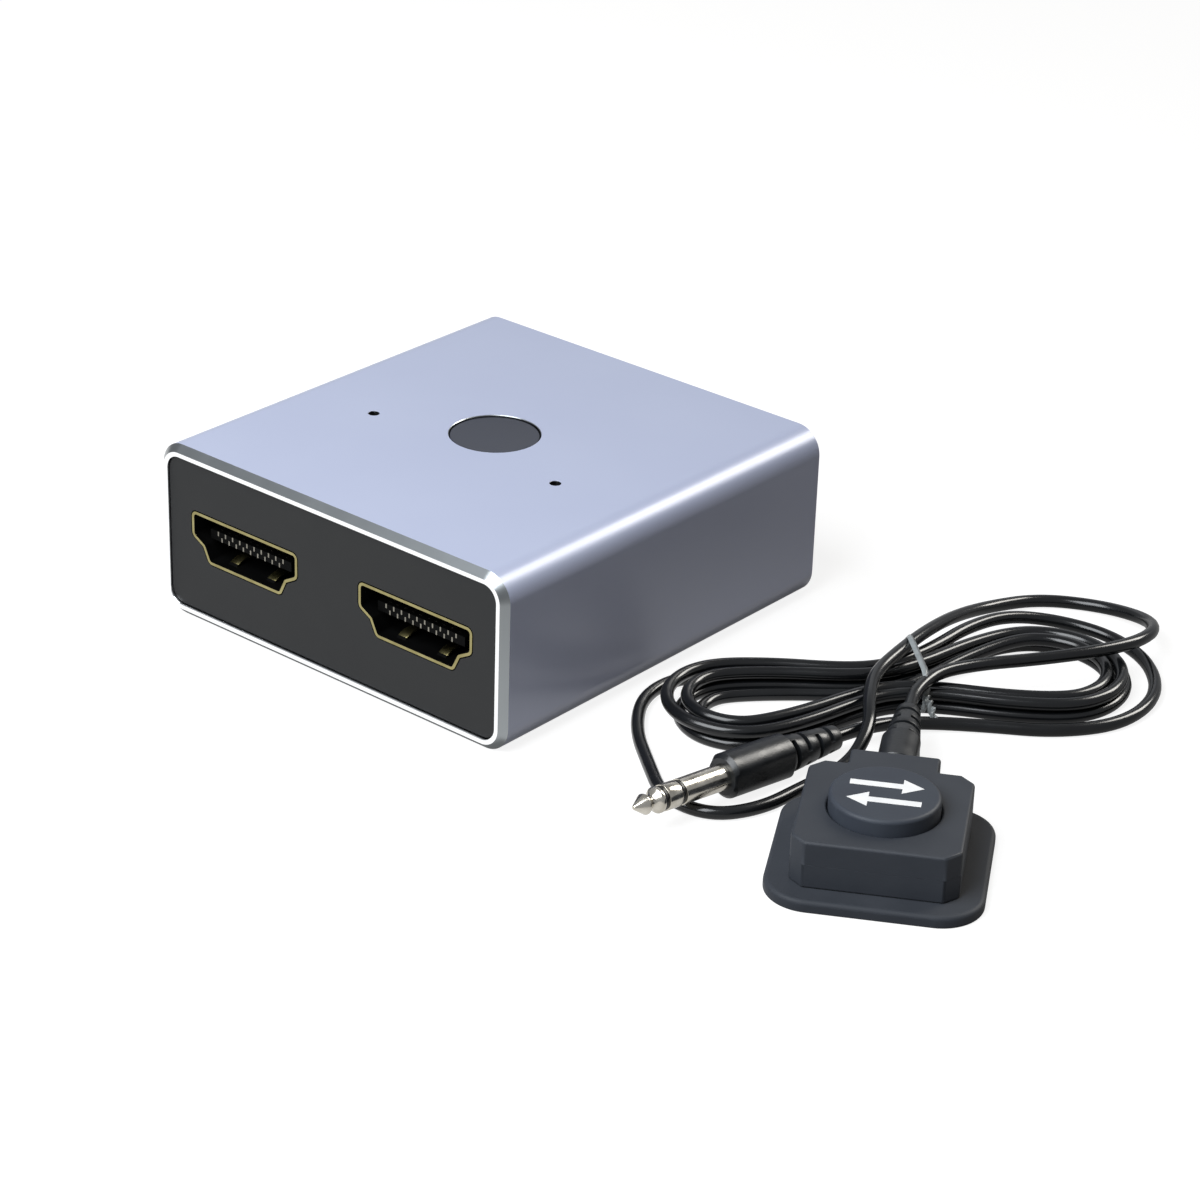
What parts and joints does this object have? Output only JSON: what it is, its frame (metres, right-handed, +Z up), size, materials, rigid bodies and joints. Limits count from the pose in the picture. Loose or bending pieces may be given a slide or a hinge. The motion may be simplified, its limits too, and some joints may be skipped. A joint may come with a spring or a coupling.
{
  "type": "hdmi switch box",
  "caption": "Flat square metal video switch box with sockets front and back, a push button on top, and a wired push-button remote on a tied lead with a jack plug.",
  "frame": {"origin": "middle of the switch box's underside, on the surface it stands on", "axes": "+Z up; -Y is the front with the two input sockets, +Y the rear; +X is the right side, where the remote lies"},
  "size_m": [0.0948, 0.0685, 0.0185],
  "materials": {
    "anodised_sleeve": "bead-blasted and anodised, bright rims",
    "panel_plastic": "fine moulded grain",
    "button_plastic": "satin",
    "socket_gold": "thin gold flash on folded sheet",
    "socket_black": "glass-filled moulding",
    "contact_gold": "gold-plated",
    "solder_mask": "glossy solder mask",
    "chip_epoxy": "moulded epoxy",
    "capacitor_ceramic": "fired ceramic with tinned ends",
    "resistor_glaze": "glazed",
    "tinned_steel": "tinned",
    "lamp_resin": "clear resin over phosphor",
    "light_pipe_acrylic": "smoked clear acrylic",
    "switch_nylon": "moulded nylon",
    "port_plastic": "moulded",
    "plate_rubber": "soft matte moulding",
    "adhesive_foam": "foam tape with adhesive",
    "remote_plastic": "fine matte grain",
    "remote_button_plastic": "matte with a white printed symbol",
    "moulded_grip": "soft PVC, semi-gloss",
    "lead_jacket": "glossy PVC",
    "plug_nickel": "nickel plate",
    "plug_band": "moulded",
    "tie_plastic": "thin translucent strip over a wire"
  },
  "bodies": {
    "root": {"board_capacitors": "capacitor_ceramic", "board_crystal": "tinned_steel", "board_resistors": "resistor_glaze", "box_tact_body": "switch_nylon", "box_tact_dome": "tinned_steel", "front_panel": "panel_plastic", "hank_tie": "tie_plastic", "hdmi_in_left_contacts": "contact_gold", "hdmi_in_left_insulator": "socket_black", "hdmi_in_left_shell": "socket_gold", "hdmi_in_right_contacts": "contact_gold", "hdmi_in_right_insulator": "socket_black", "hdmi_in_right_shell": "socket_gold", "hdmi_out_contacts": "contact_gold", "hdmi_out_insulator": "socket_black", "hdmi_out_shell": "socket_gold", "housing_sleeve": "anodised_sleeve", "lead_from_remote": "lead_jacket", "lead_hank": "lead_jacket", "lead_to_plug": "lead_jacket", "light_pipe_left": "light_pipe_acrylic", "light_pipe_right": "light_pipe_acrylic", "main_board": "solder_mask", "plug_body": "moulded_grip", "plug_insulators": "plug_band", "plug_ring": "plug_nickel", "plug_sleeve": "plug_nickel", "plug_tip": "plug_nickel", "rear_panel": "panel_plastic", "remote_adhesive_pad": "adhesive_foam", "remote_board": "solder_mask", "remote_case_lower": "remote_plastic", "remote_case_upper": "remote_plastic", "remote_plate": "plate_rubber", "remote_port_body": "port_plastic", "remote_port_contacts": "tinned_steel", "remote_strain_relief": "moulded_grip", "remote_tact_body": "switch_nylon", "remote_tact_dome": "tinned_steel", "status_lamps": "lamp_resin", "switch_chip": "chip_epoxy"},
    "box_button": {"box_button": "button_plastic", "box_tact_plunger": "switch_nylon"},
    "remote_button": {"remote_button": "remote_button_plastic", "remote_tact_plunger": "switch_nylon"}
  },
  "joints": [
    {"name": "box_button_press", "type": "slide", "parent": "root", "child": "box_button", "axis": [0, 0, -1], "range_m": [0, 0.0003], "stiffness_N_per_m": 1500, "deforming": ["box_tact_dome"]},
    {"name": "remote_button_press", "type": "slide", "parent": "root", "child": "remote_button", "axis": [0, 0, -1], "range_m": [0, 0.00025], "stiffness_N_per_m": 1500, "deforming": ["remote_tact_dome"]}
  ]
}
